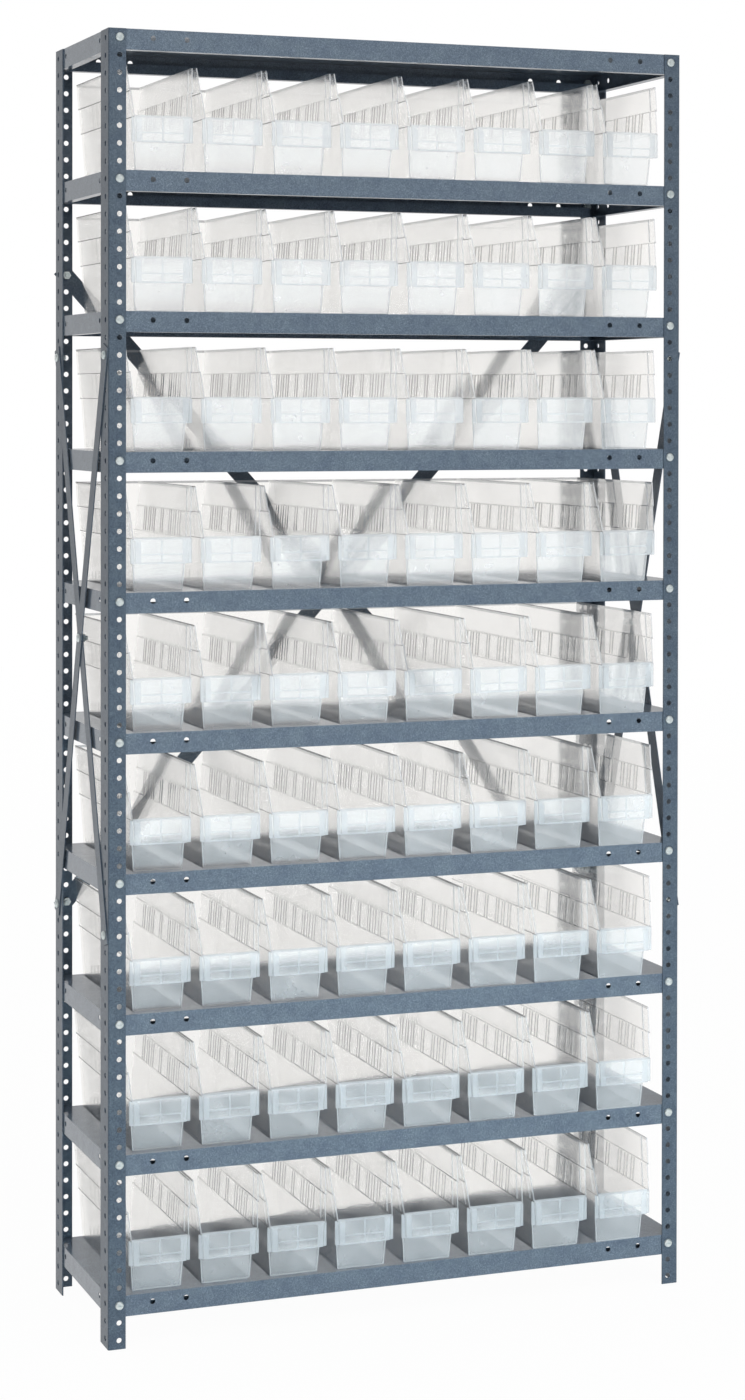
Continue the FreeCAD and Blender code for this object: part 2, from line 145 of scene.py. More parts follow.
def combine(nodes, links, operation, first, second):
    """A Math node on two sockets or numbers."""
    node = nodes.new("ShaderNodeMath")
    node.operation = operation
    for socket, value in zip(node.inputs, (first, second)):
        if isinstance(value, float):
            socket.default_value = value
        else:
            links.new(value, socket)
    return node.outputs[0]


def add_bump(nodes, links, shader, height, strength, distance):
    """Small dents from a grey pattern. The distance is their height in metres."""
    bump = nodes.new("ShaderNodeBump")
    bump.inputs["Strength"].default_value = strength
    bump.inputs["Distance"].default_value = distance
    links.new(height, bump.inputs["Height"])
    links.new(bump.outputs["Normal"], shader.inputs["Normal"])

# %% [markdown]
# ## Speckled enamel on the steel
#
# The posts, shelves and straps are dipped or sprayed in a blue-grey enamel with a fine fleck, like
# a hammer finish. The photograph shows posts and straps a little darker than the shelves, so they
# get a deeper coat of the same recipe. A small noise makes the fleck, a larger one the cloudy
# patches in which the coat is thicker or thinner, and a slight bump lets the fleck catch the light.
# A thin clear coat adds the gloss.

# %% Colours and scales of the enamel
FLECKS = [
    (0.34, (0.072, 0.096, 0.130)),
    (0.47, (0.106, 0.141, 0.184)),
    (0.56, (0.138, 0.180, 0.232)),
    (0.70, (0.228, 0.277, 0.338)),
]
CLOUDS = [
    (0.30, (0.40, 0.41, 0.44)),
    (0.70, (0.60, 0.60, 0.58)),
]
CLOUD_STRENGTH = 0.8
FLECK_SCALE = 640.0
CLOUD_SCALE = 34.0
SHEEN_SCALE = 90.0
ENAMEL_ROUGHNESS = (0.26, 0.40)
ENAMEL_COAT = 0.7
FLECK_RELIEF = 0.0004
print("fleck colours:", len(FLECKS))

# %% Enamel
def make_enamel(name, depth):
    """Flecked enamel. A depth over one is a darker coat with less gloss."""
    material, nodes, links, shader, place = new_finish(name)
    speck = noise(nodes, links, place, FLECK_SCALE, detail=4.0, roughness=0.75)
    shades = [(position, [channel / depth for channel in colour]) for position, colour in FLECKS]
    fleck = ramp(nodes, links, speck, shades)
    patches = noise(nodes, links, place, CLOUD_SCALE, detail=4.0, roughness=0.6)
    cloud = ramp(nodes, links, patches, CLOUDS)
    colour = blend_colours(nodes, links, "SOFT_LIGHT", CLOUD_STRENGTH, fleck, cloud)
    links.new(colour, shader.inputs["Base Color"])
    shader.inputs["Metallic"].default_value = 0.1
    shader.inputs["Specular IOR Level"].default_value = 0.1
    sheen = noise(nodes, links, place, SHEEN_SCALE, detail=3.0)
    links.new(remap(nodes, links, sheen, *ENAMEL_ROUGHNESS), shader.inputs["Roughness"])
    shader.inputs["Coat Weight"].default_value = ENAMEL_COAT / depth ** 4
    shader.inputs["Coat Roughness"].default_value = 0.09
    add_bump(nodes, links, shader, speck, strength=0.2, distance=FLECK_RELIEF)
    return material


shelf_enamel = make_enamel("speckled_enamel", depth=1.0)
post_enamel = make_enamel("dark_speckled_enamel", depth=1.35)
print("enamel nodes:", len(shelf_enamel.node_tree.nodes))

# %% [markdown]
# ## Zinc on the bolts and nuts
#
# The bolts and nuts are zinc plated: bright, slightly blue-green in patches, and dulled by
# handling. It is a metal, so its colour comes mostly from what it reflects, and a fine grain breaks
# the reflections up.

# %% Zinc
ZINC_TINTS = [
    (0.35, (0.55, 0.62, 0.63)),
    (0.65, (0.78, 0.83, 0.82)),
]
ZINC_PATCH_SCALE = 160.0
ZINC_GRAIN_SCALE = 900.0
ZINC_ROUGHNESS = (0.25, 0.42)
ZINC_RELIEF = 0.0002


def make_zinc():
    """Plated steel in two close tints, with a roughness that varies in fine grain."""
    material, nodes, links, shader, place = new_finish("zinc_plate")
    patches = noise(nodes, links, place, ZINC_PATCH_SCALE, detail=3.0)
    tint = ramp(nodes, links, patches, ZINC_TINTS)
    links.new(tint, shader.inputs["Base Color"])
    shader.inputs["Metallic"].default_value = 0.85
    grain = noise(nodes, links, place, ZINC_GRAIN_SCALE)
    links.new(remap(nodes, links, grain, *ZINC_ROUGHNESS), shader.inputs["Roughness"])
    add_bump(nodes, links, shader, grain, strength=0.15, distance=ZINC_RELIEF)
    return material


zinc = make_zinc()
print("zinc nodes:", len(zinc.node_tree.nodes))

# %% [markdown]
# ## Finishing the steel
#
# The steel parts keep the meshes that the CAD gave them, because their bends and holes are already
# right. They only need a material, and their names say which: bolts and nuts get zinc, shelves the
# lighter enamel, and posts and straps the darker one.

# %% Put the finishes on the steel
for name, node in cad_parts.items():
    if name.startswith("bins_"):
        continue
    finish = shelf_enamel if name.startswith("shelf_") else post_enamel
    if name.endswith(("bolts", "nuts")):
        finish = zinc
    node.data.materials.clear()
    node.data.materials.append(finish)
print("finished steel nodes:", sum(not name.startswith("bins_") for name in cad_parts))

# %% [markdown]
# ## Clear plastic
#
# The bins are moulded in a clear plastic that is a little milky. Glass-like refraction would be
# slow in a wall of seventy bins and hide their lines. So each wall is part see-through, and the
# rest of it passes light on with a slight blur, at an index close to that of air. It lets less
# through where it is seen edge on, as any clear sheet does, and a Layer Weight node gives that.
# Soft patches of haze come from the way the melt flowed into the mould. Rims, ribs and the label holder
# are thicker, so each gets its own tone. The rim tone, the ridge tone and the line tone also carry
# painted shade and painted highlights: the dark and pale lines that light makes where a clear sheet ends
# or bends.

# %% Light through the plastic
LIGHT_SHARE = 0.95


def let_light_through(nodes, links, shader):
    """Let most of the light straight through that a lamp, a surface or another clear wall sends."""
    rays = nodes.new("ShaderNodeLightPath")
    free = rays.outputs["Is Shadow Ray"]
    for kind in ("Is Diffuse Ray", "Is Transmission Ray"):
        free = combine(nodes, links, "MAXIMUM", free, rays.outputs[kind])
    clear = nodes.new("ShaderNodeBsdfTransparent")
    mix = nodes.new("ShaderNodeMixShader")
    links.new(combine(nodes, links, "MULTIPLY", free, LIGHT_SHARE), mix.inputs["Fac"])
    links.new(shader.outputs["BSDF"], mix.inputs[1])
    links.new(clear.outputs["BSDF"], mix.inputs[2])
    links.new(mix.outputs["Shader"], nodes["Material Output"].inputs["Surface"])

# %% Plastic
PLASTIC_INDEX = 1.08
PLASTIC_ROUGHNESS = (0.20, 0.30)
PLASTIC_COAT = 0.2
PLASTIC_GRAIN_SCALE = 300.0
FLOW_SCALE = 26.0
FLOW_EDGES = (0.35, 0.65)
EDGE_BLEND = 0.35


def make_plastic(name, colour, face_on, edge_on, passes_on, cloudiness=0.02, patchiness=0.15):
    """Milky plastic that catches a share of the light, from face_on to edge_on, and passes some on."""
    material, nodes, links, shader, place = new_finish(name)
    pale = [min(1.0, channel * (1 + cloudiness)) for channel in colour]
    deep = [channel * (1 - cloudiness) for channel in colour]
    flow = noise(nodes, links, place, FLOW_SCALE, detail=3.0, roughness=0.6)
    tint = ramp(nodes, links, flow, list(zip(FLOW_EDGES, (deep, pale))))
    links.new(tint, shader.inputs["Base Color"])
    shader.inputs["IOR"].default_value = PLASTIC_INDEX
    shader.inputs["Transmission Weight"].default_value = passes_on
    shader.inputs["Coat Weight"].default_value = PLASTIC_COAT
    shader.inputs["Coat Roughness"].default_value = 0.12
    grain = noise(nodes, links, place, PLASTIC_GRAIN_SCALE)
    links.new(remap(nodes, links, grain, *PLASTIC_ROUGHNESS), shader.inputs["Roughness"])
    facing = nodes.new("ShaderNodeLayerWeight")
    facing.inputs["Blend"].default_value = EDGE_BLEND
    haze = remap(nodes, links, facing.outputs["Facing"], face_on, edge_on)
    patches = remap(nodes, links, flow, 1 - patchiness, 1 + patchiness)
    links.new(combine(nodes, links, "MULTIPLY", haze, patches), shader.inputs["Alpha"])
    let_light_through(nodes, links, shader)
    return material

# %% Tones of the plastic
WALL, RIM_AND_EDGE_LIGHT, RIB, RIDGE_SHADE, PAINTED_EDGE_SHADE, FRONT, RAIL, WINDOW = range(8)
bin_finishes = [
    make_plastic("clear_wall", (0.985, 0.98, 0.971), 0.38, 0.60, 0.88),
    # Partly the real, thicker rim and partly painted light: the grey line that a clear edge shows.
    make_plastic("clear_rim_and_edge_light", (0.71, 0.73, 0.75), 0.60, 0.75, 0.3),
    make_plastic("clear_rib", (0.78, 0.765, 0.745), 0.40, 0.56, 0.85),
    # Painted shade: the dark outline along each rib.
    make_plastic("clear_ridge_shade", (0.55, 0.54, 0.53), 0.60, 0.80, 0.5),
    # Painted shade: the dark tone of the fine lines where the clear plastic bends.
    make_plastic("clear_painted_edge_shade", (0.22, 0.22, 0.215), 0.62, 0.84, 0.4),
    make_plastic("clear_front", (0.892, 0.912, 0.927), 0.35, 0.50, 0.34, patchiness=0.4),
    make_plastic("clear_rail", (0.70, 0.737, 0.765), 0.60, 0.72, 0.25),
    make_plastic("clear_window", (0.865, 0.915, 0.95), 0.06, 0.20, 0.34, patchiness=0.3),
]
print("plastic tones:", len(bin_finishes))

# %% [markdown]
# ## The bin's walls
#
# A bin is a tapered box whose sides step out twice on the way up, with an open front above the
# label holder. Half of its cross-section is a short chain of points. Extruding that chain along the
# bin gives the floor and one side as a sheet, its front edge is then drawn back, and a mirror gives
# the other side. The sheet gets its thickness last, so the wall comes out even. The sizes are in
# metres, and the last four are tolerances that tell points apart where they lie close together.

# %% Sizes of the bin
BIN_LENGTH = 0.295
BIN_WIDTH = 0.1020375
BIN_HEIGHT = 0.1524
UPPER_LEDGE = 0.115
LOWER_LEDGE = 0.0775
PANEL_BOTTOM = 0.0412
LEDGE_STEP = 0.0015
DRAFT = math.tan(math.radians(4.15))
WALL_THICKNESS = 0.002
PANEL_WIDTH = 0.0927
NOSE_BOTTOM = 0.019
NOSE_TOP = 0.016
TOP_SETBACK = 0.020
CLOSE = 2e-4
MARGIN = 1e-4
JUST_BELOW = 1e-5
HAIR = 1e-6


def half_width(height):
    """Outer half width of the bin at a height. A ledge counts as part of the wall above it."""
    width = BIN_WIDTH / 2 - (BIN_HEIGHT - height) * DRAFT
    width -= LEDGE_STEP * ((height < UPPER_LEDGE - HAIR) + (height < LOWER_LEDGE - HAIR))
    return width


def front_at(height):
    """How far back the open front of a side stands at a height."""
    return max(0.0, height - LOWER_LEDGE) * TOP_SETBACK / (BIN_HEIGHT - LOWER_LEDGE)


def near(value, target):
    return abs(value - target) < CLOSE


print("bin width at the base:", round(2 * half_width(0.0) * 1000, 1), "mm")

# %% Floor and sides
def extrude_chain(mesh, points, reaches):
    """A sheet from a chain of points in the XZ plane, extruded along Y to each reach in turn."""
    chain = [mesh.verts.new((x, 0.0, z)) for x, z in points]
    edges = [mesh.edges.new(pair) for pair in zip(chain, chain[1:])]
    for start, reach in zip((0.0, *reaches), reaches):
        made = bmesh.ops.extrude_edge_only(mesh, edges=edges)["geom"]
        tips = [item for item in made if isinstance(item, bmesh.types.BMVert)]
        bmesh.ops.translate(mesh, verts=tips, vec=(0.0, reach - start, 0.0))
        edges = [item for item in made if isinstance(item, bmesh.types.BMEdge)
                 and all(near(vert.co.y, reach) for vert in item.verts)]


def make_shell():
    """Floor and one side of a bin as a sheet, with the front edge drawn back to its slanting line."""
    mesh = bmesh.new()
    points = [
        (0.0, 0.0),
        (half_width(0.0), 0.0),
        (half_width(PANEL_BOTTOM), PANEL_BOTTOM),
        (half_width(LOWER_LEDGE - JUST_BELOW), LOWER_LEDGE),
        (half_width(LOWER_LEDGE), LOWER_LEDGE),
        (half_width(UPPER_LEDGE - JUST_BELOW), UPPER_LEDGE),
        (half_width(UPPER_LEDGE), UPPER_LEDGE),
        (half_width(BIN_HEIGHT), BIN_HEIGHT),
    ]
    extrude_chain(mesh, points, (NOSE_TOP, BIN_LENGTH))
    under_nose = [face for face in mesh.faces if face.calc_center_median().y < NOSE_TOP
                  and face.calc_center_median().z < PANEL_BOTTOM - MARGIN]
    bmesh.ops.delete(mesh, geom=under_nose, context="FACES")
    for vert in mesh.verts:
        if near(vert.co.y, BIN_LENGTH):
            continue
        if vert.co.z < PANEL_BOTTOM - MARGIN:
            vert.co.y = NOSE_BOTTOM
        else:
            vert.co.y += front_at(vert.co.z)
    return mesh


shell = make_shell()
print("half shell faces:", len(shell.faces))

# %% [markdown]
# The sheet is mirrored, and the ends are closed in four steps: the back, the low front wall, the
# floor of the nose that carries the label holder, and the panel itself. An edge across the bin
# completes the loop of each one, and the face then grows between edges that the sheet already has,
# so nothing can gape.

# %% Close the front and the back
def close_ends(mesh):
    """Mirror the sheet and add the back wall, the low front wall, the nose floor and the label panel."""
    everything = [*mesh.verts, *mesh.edges, *mesh.faces]
    bmesh.ops.mirror(mesh, geom=everything, merge_dist=HAIR, axis="X")
    bmesh.ops.remove_doubles(mesh, verts=mesh.verts, dist=HAIR)

    def span(corner):
        """An edge across the bin between the two corners that pass a test."""
        mesh.edges.new([vert for vert in mesh.verts if corner(vert.co)])

    def fill(inside, tone):
        """A face within the loop of edges whose ends all pass a test."""
        loop = [edge for edge in mesh.edges if all(inside(vert.co) for vert in edge.verts)]
        made = bmesh.ops.contextual_create(mesh, geom=loop)["faces"]
        for face in made:
            face.material_index = tone

    back = lambda point: near(point.y, BIN_LENGTH)
    low_front = lambda point: near(point.z, 0.0) and near(point.y, NOSE_BOTTOM)
    nose_back = lambda point: near(point.z, PANEL_BOTTOM) and near(point.y, NOSE_TOP)
    nose_tip = lambda point: near(point.z, PANEL_BOTTOM) and near(point.y, 0.0)
    panel_top = lambda point: (near(point.z, LOWER_LEDGE) and near(point.y, 0.0)
                               and abs(point.x) < half_width(LOWER_LEDGE) - MARGIN)
    span(lambda point: back(point) and near(point.z, BIN_HEIGHT))
    for corner in (nose_back, nose_tip, panel_top):
        span(corner)
    fill(back, WALL)
    fill(lambda point: low_front(point) or nose_back(point), FRONT)
    fill(lambda point: nose_back(point) or nose_tip(point), FRONT)
    fill(lambda point: nose_tip(point) or panel_top(point), FRONT)


close_ends(shell)
open_edges = [edge for edge in shell.edges if len(edge.link_faces) == 1]
print("closed shell faces:", len(shell.faces), "open edges round the mouth:", len(open_edges))

# %% [markdown]
# ## The label holder
#
# The panel on the nose carries a holder for a paper label: rails left and right with slanted tops,
# bars across below and one upright in the middle, all a little proud of the clear windows. It
# starts as one flat sheet with a cell for each bar and window. Extruding the bars' cells forwards
# leaves the windows sunk, and one thickness finishes it.

# %% Label holder
HOLDER_SIDE = 0.0394
RAIL_INSIDE = 0.0310
BAR_SIDE = 0.0014
HOLDER_COLUMNS = (-HOLDER_SIDE, -RAIL_INSIDE, -BAR_SIDE, BAR_SIDE, RAIL_INSIDE, HOLDER_SIDE)
HOLDER_ROWS = (PANEL_BOTTOM, 0.0432, 0.0536, 0.0558, LOWER_LEDGE)
WINDOW_ROWS = (1, 3)
RAIL_HEIGHT = 0.0018
RAIL_SLANT = 0.008


def make_holder():
    """Rails and bars that stand forwards of the sunk windows, as a sheet."""
    mesh = bmesh.new()
    row = [mesh.verts.new((x, RAIL_HEIGHT, HOLDER_ROWS[0])) for x in HOLDER_COLUMNS]
    edges = [mesh.edges.new(pair) for pair in zip(row, row[1:])]
    windows = []
    for level, (low, high) in enumerate(zip(HOLDER_ROWS, HOLDER_ROWS[1:])):
        made = bmesh.ops.extrude_edge_only(mesh, edges=edges)["geom"]
        bmesh.ops.translate(mesh, verts=[item for item in made if isinstance(item, bmesh.types.BMVert)],
                            vec=(0.0, 0.0, high - low))
        edges = [item for item in made if isinstance(item, bmesh.types.BMEdge)
                 and all(near(vert.co.z, high) for vert in item.verts)]
        if level in WINDOW_ROWS:
            windows += [item for item in made if isinstance(item, bmesh.types.BMFace)
                        and BAR_SIDE < abs(item.calc_center_median().x) < RAIL_INSIDE]
    for face in windows:
        face.material_index = WINDOW
    bars = [face for face in mesh.faces if face not in windows]
    for face in bars:
        face.material_index = RAIL
    raised = bmesh.ops.extrude_face_region(mesh, geom=bars)["geom"]
    bmesh.ops.delete(mesh, geom=bars, context="FACES")
    fronts = [item for item in raised if isinstance(item, bmesh.types.BMVert)]
    bmesh.ops.translate(mesh, verts=fronts, vec=(0.0, -RAIL_HEIGHT, 0.0))
    for vert in fronts:
        if near(vert.co.z, HOLDER_ROWS[-1]) and near(abs(vert.co.x), RAIL_INSIDE):
            vert.co.z -= RAIL_SLANT
    bmesh.ops.recalc_face_normals(mesh, faces=mesh.faces)
    return mesh


holder = make_holder()
print("label holder faces:", len(holder.faces))

# %% [markdown]
# At each side of the holder a narrow wing stands a little further back. On the inside of both walls,
# flat ribs between the ledges guide loose dividers, and a fine ridge runs down each of their sides; the
# ridges' dark tone is painted shade, the dark outline that light draws along each rib. All of them are
# small blocks, so one helper makes them, and it softens the edges where they would show.

# %% A block with soft edges
def add_block(mesh, centre, size, tilt=0.0, lean=0.0, soften=0.0):
    """A block, tilted about Y and leaning about X, with edges bevelled by the width to soften."""
    turn = Matrix.Rotation(lean, 4, "X") @ Matrix.Rotation(tilt, 4, "Y")
    place = Matrix.Translation(centre) @ turn @ Matrix.Diagonal((*size, 1.0))
    verts = bmesh.ops.create_cube(mesh, size=1.0, matrix=place)["verts"]
    if soften:
        edges = list(dict.fromkeys(edge for vert in verts for edge in vert.link_edges))
        bmesh.ops.bevel(mesh, geom=edges, offset=soften, segments=1, profile=0.5,
                        affect="EDGES", material=-1)

# %% Wings
WING_BACK = 0.0028
WING_THICKNESS = 0.0022
WING_OVERLAP = 0.0008
WING_SOFTNESS = 0.0008


def make_wings():
    """Two upright strips, one at each side of the label holder, tucked in behind its rails."""
    mesh = bmesh.new()
    outer, inner = PANEL_WIDTH / 2, HOLDER_SIDE - WING_OVERLAP
    size = (outer - inner, WING_THICKNESS, LOWER_LEDGE - PANEL_BOTTOM)
    for side in (-1, 1):
        centre = (side * (outer + inner) / 2, WING_BACK + WING_THICKNESS / 2,
                  (PANEL_BOTTOM + LOWER_LEDGE) / 2)
        add_block(mesh, centre, size, soften=WING_SOFTNESS)
    return mesh


wings = make_wings()
print("wing faces:", len(wings.faces))

# %% Divider ribs
RIB_WIDTH = 0.0095
RIB_HEIGHT = 0.0008
RIB_MIDDLE = 0.1443
RIB_OFFSETS = (0.0, 0.0427, 0.0653, 0.0889)
RIDGE_WIDTH = 0.0014
RIDGE_HEIGHT = 0.0016


def make_ribs(offsets, width, rise):
    """Upright blocks on the inside of both walls, at offsets on both sides of the middle rib."""
    mesh = bmesh.new()
    middle = (LOWER_LEDGE + WALL_THICKNESS + UPPER_LEDGE) / 2
    height = UPPER_LEDGE - LOWER_LEDGE - WALL_THICKNESS
    reach = half_width(middle) - WALL_THICKNESS - rise / 2
    for side in (-1, 1):
        for offset in offsets:
            add_block(mesh, (side * reach, RIB_MIDDLE + offset, middle), (rise, width, height),
                      tilt=side * math.atan(DRAFT))
    return mesh


rib_offsets = sorted({sign * offset for offset in RIB_OFFSETS for sign in (-1, 1)})
ridge_offsets = [offset + side * RIB_WIDTH / 2 for offset in rib_offsets for side in (-1, 1)]
ribs = make_ribs(rib_offsets, RIB_WIDTH, RIB_HEIGHT)
ridges = make_ribs(ridge_offsets, RIDGE_WIDTH, RIDGE_HEIGHT)
print("rib faces:", len(ribs.faces), "ridge faces:", len(ridges.faces))

# %% [markdown]
# Where a moulding turns a corner it is a little thicker, and the bend of the clear plastic shows a fine
# line there, dark in some places and pale in others, which is painted on a slim block. Along both ledges
# and along the upper edge of the sides it is painted shade and looks dark. Round the low front wall,
# along the top of the label panel and down the front border of each side it is a painted highlight and
# looks pale. Eight short ribs stiffen the foot of the back wall, and they carry the same dark painted
# shade. All of these are slim blocks again, which cost few faces.

# %% Corner beads on the sides
BEAD = 0.0014


def make_ledge_shade_lines():
    """Painted shade: dark lines along both ledges and the upper edge of the sides, where the clear
    plastic bends.
    """
    mesh = bmesh.new()
    for side in (-1, 1):
        add_block(mesh, (side * (half_width(BIN_HEIGHT) - BEAD / 2), (TOP_SETBACK + BIN_LENGTH) / 2,
                         BIN_HEIGHT - BEAD / 2), (BEAD, BIN_LENGTH - TOP_SETBACK, BEAD))
        for ledge in (LOWER_LEDGE, UPPER_LEDGE):
            start = front_at(ledge)
            add_block(mesh, (side * (half_width(ledge) - BEAD / 2), (start + BIN_LENGTH) / 2, ledge),
                      (BEAD, BIN_LENGTH - start, BEAD))
    return mesh


ledge_shade_lines = make_ledge_shade_lines()
print("ledge bead faces:", len(ledge_shade_lines.faces))

# %% Beads at the front
FRONT_BEAD = 0.0018
BORDER = 0.017


def make_front_highlight_beads():
    """Painted highlights: pale lines round the low front wall, along the panel's top and down the border
    of each side.
    """
    mesh = bmesh.new()
    front_lean = -math.atan((NOSE_TOP - NOSE_BOTTOM) / PANEL_BOTTOM)
    side_lean = -math.atan(TOP_SETBACK / (BIN_HEIGHT - LOWER_LEDGE))
    for side in (-1, 1):
        tilt = side * math.atan(DRAFT)
        for low, high in ((LOWER_LEDGE, UPPER_LEDGE), (UPPER_LEDGE, BIN_HEIGHT)):
            middle = (low + high) / 2
            centre = (side * (half_width(middle) - WALL_THICKNESS), front_at(middle) + BORDER, middle)
            add_block(mesh, centre, (BEAD, BEAD * 2, high - low - BEAD), tilt=tilt, lean=side_lean)
        centre = (side * (half_width(PANEL_BOTTOM / 2) - FRONT_BEAD / 2),
                  (NOSE_BOTTOM + NOSE_TOP + FRONT_BEAD) / 2, PANEL_BOTTOM / 2)
        size = (FRONT_BEAD, FRONT_BEAD, PANEL_BOTTOM - FRONT_BEAD)
        add_block(mesh, centre, size, tilt=tilt, lean=front_lean)
    add_block(mesh, (0.0, NOSE_BOTTOM + FRONT_BEAD / 2, FRONT_BEAD / 2),
              (2 * half_width(0.0) - FRONT_BEAD, FRONT_BEAD, FRONT_BEAD))
    add_block(mesh, (0.0, BEAD / 2, LOWER_LEDGE - BEAD / 2),
              (2 * half_width(LOWER_LEDGE) - BEAD, BEAD, BEAD))
    return mesh


front_highlight_beads = make_front_highlight_beads()
print("front bead faces:", len(front_highlight_beads.faces))

# %% Foot ribs
FOOT_RIB_SIZE = (0.0014, 0.0016, 0.012)
FOOT_RIB_GROUP = 0.017
FOOT_RIB_OFFSETS = (-0.0081, -0.0027, 0.0027, 0.0081)


def make_foot_ribs():
    """Two groups of four short ribs, inside at the foot of the back wall."""
    mesh = bmesh.new()
    _, depth, height = FOOT_RIB_SIZE
    back = BIN_LENGTH - WALL_THICKNESS - depth / 2
    for side in (-1, 1):
        for offset in FOOT_RIB_OFFSETS:
            centre = (side * FOOT_RIB_GROUP + offset, back, WALL_THICKNESS + height / 2)
            add_block(mesh, centre, FOOT_RIB_SIZE)
    return mesh


foot_ribs = make_foot_ribs()
print("foot rib faces:", len(foot_ribs.faces))

# %% [markdown]
# ## The rolled rim
#
# The upper edge of the sides and the back is thicker than the wall, which keeps the bin from
# spreading. The rim follows the edge of the shell, so its edges are taken from the shell itself,
# drawn down and given a thickness.

# %% Rim
RIM_DEPTH = 0.0035
RIM_INSET = 0.0006
RIM_THICKNESS = 0.0014


def make_rim(shell):
    """A narrow band along the top of the shell, drawn in a little so that it doesn't share its faces."""
    mesh = shell.copy()
    top = [edge for edge in mesh.edges if all(near(vert.co.z, BIN_HEIGHT) for vert in edge.verts)]
    made = bmesh.ops.extrude_edge_only(mesh, edges=top)["geom"]
    lowered = [item for item in made if isinstance(item, bmesh.types.BMVert)]
    bmesh.ops.translate(mesh, verts=lowered, vec=(0.0, 0.0, -RIM_DEPTH))
    band = {item for item in made if isinstance(item, bmesh.types.BMFace)}
    bmesh.ops.delete(mesh, geom=[face for face in mesh.faces if face not in band], context="FACES")
    for vert in mesh.verts:
        vert.co.x -= math.copysign(RIM_INSET, vert.co.x)
        if near(vert.co.y, BIN_LENGTH):
            vert.co.y -= RIM_INSET
    return mesh


rim = make_rim(shell)
print("rim faces:", len(rim.faces))

# %% [markdown]
# ## One finished bin
#
# Each sheet has its faces turned outwards, gets its thickness inwards with the Solidify modifier, and is
# joined with the blocks into one mesh. Every part keeps its own tone of plastic. The cut edges of the
# shell get the tone of the rim, which paints the line of light and shade that a clear sheet shows where
# light leaves it.

# %% Thicken a sheet
def thicken(mesh, thickness, edge_step=0):
    """Give a sheet its thickness on the side away from its normals.

    With an edge step, its cut edges take the tone that many places further on in the list.
    """
    sheet_mesh = bpy.data.meshes.new("sheet")
    bmesh.ops.recalc_face_normals(mesh, faces=mesh.faces)
    mesh.to_mesh(sheet_mesh)
    sheet = bpy.data.objects.new("sheet", sheet_mesh)
    for finish in bin_finishes:
        sheet_mesh.materials.append(finish)
    solid = sheet.modifiers.new("Thickness", "SOLIDIFY")
    solid.thickness = thickness
    solid.offset = -1.0
    solid.use_even_offset = True
    solid.material_offset_rim = edge_step
    bpy.context.scene.collection.objects.link(sheet)
    evaluated = sheet.evaluated_get(bpy.context.evaluated_depsgraph_get())
    finished = bpy.data.meshes.new_from_object(evaluated)
    bpy.data.objects.remove(sheet)
    bpy.data.meshes.remove(sheet_mesh)
    return finished

# %% Join the parts of a bin
def join_meshes(meshes):
    """One bmesh with everything from a list of meshes."""
    joined = bmesh.new()
    for mesh in meshes:
        joined.from_mesh(mesh)
    return joined


def toned(mesh, tone):
    """The mesh with a tone on each face that has none of its own yet."""
    for face in mesh.faces:
        face.material_index = face.material_index or tone
    return mesh


def as_mesh(mesh):
    """A bmesh of blocks, which are solid already, as mesh data."""
    data = bpy.data.meshes.new("block")
    mesh.to_mesh(data)
    return data


one_bin = join_meshes([
    # The cut edges of the sheet take the rim tone, a painted line of edge light.
    thicken(toned(shell, WALL), WALL_THICKNESS, RIM_AND_EDGE_LIGHT - WALL),
    thicken(holder, WALL_THICKNESS),
    thicken(toned(rim, RIM_AND_EDGE_LIGHT), RIM_THICKNESS),
    as_mesh(toned(wings, RAIL)),
    as_mesh(toned(ribs, RIB)),
    # The ridges carry painted shade, the dark outline of each rib.
    as_mesh(toned(ridges, RIDGE_SHADE)),
    # The ledge lines and the foot ribs carry painted shade, dark lines where the clear plastic bends.
    as_mesh(toned(ledge_shade_lines, PAINTED_EDGE_SHADE)),
    # The front beads are painted highlights, the light that the front edges catch.
    as_mesh(toned(front_highlight_beads, RIM_AND_EDGE_LIGHT)),
    as_mesh(toned(foot_ribs, PAINTED_EDGE_SHADE)),
])
print("faces in one bin:", len(one_bin.faces))

# %% [markdown]
# ## Seventy-two bins on the shelves
#
# The frame holds the bins in pairs, each with its own place, and the boxes of those nodes say where
# the two bins of a pair stand. A copy of the finished bin goes to each place, and the pair rides on
# its own body, so it draws out like the bins that it stands for.


def place_pair(name):
    """Two finished bins where a pair of the frame stands. The right one stands further forward."""
    low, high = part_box(name)
    pair = bmesh.new()
    for x, y in ((low[0] + BIN_WIDTH / 2, high[1] - BIN_LENGTH), (high[0] - BIN_WIDTH / 2, low[1])):
        single = one_bin.copy()
        bmesh.ops.translate(single, verts=single.verts, vec=(x, y, low[2]))
        data = bpy.data.meshes.new("single")
        single.to_mesh(data)
        pair.from_mesh(data)
        bpy.data.meshes.remove(data)
        single.free()
    data = bpy.data.meshes.new(f"clear_{name}")
    pair.to_mesh(data)
    pair.free()
    for finish in bin_finishes:
        data.materials.append(finish)
    piece = bpy.data.objects.new(f"clear_{name}", data)
    bpy.context.scene.collection.objects.link(piece)
    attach(piece, name)
    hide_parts(name)
    return piece


pairs = [place_pair(name) for name in sorted(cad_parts) if name.startswith("bins_")]
print("pairs of bins:", len(pairs), "faces in all:", sum(len(piece.data.polygons) for piece in pairs))

# %% [markdown]
# ## A white studio
#
# The photograph was taken against white. The floor and the world show white where the camera, a
# reflection or the clear plastic looks at them, and act as a plain pale surface and a gentler light
# for everything else. A Light Path node tells these looks apart. Seen through plastic, the white is
# a little warm and hazy.

# %% What looks at the background
WARM_HAZE = (1.0, 0.985, 0.965)


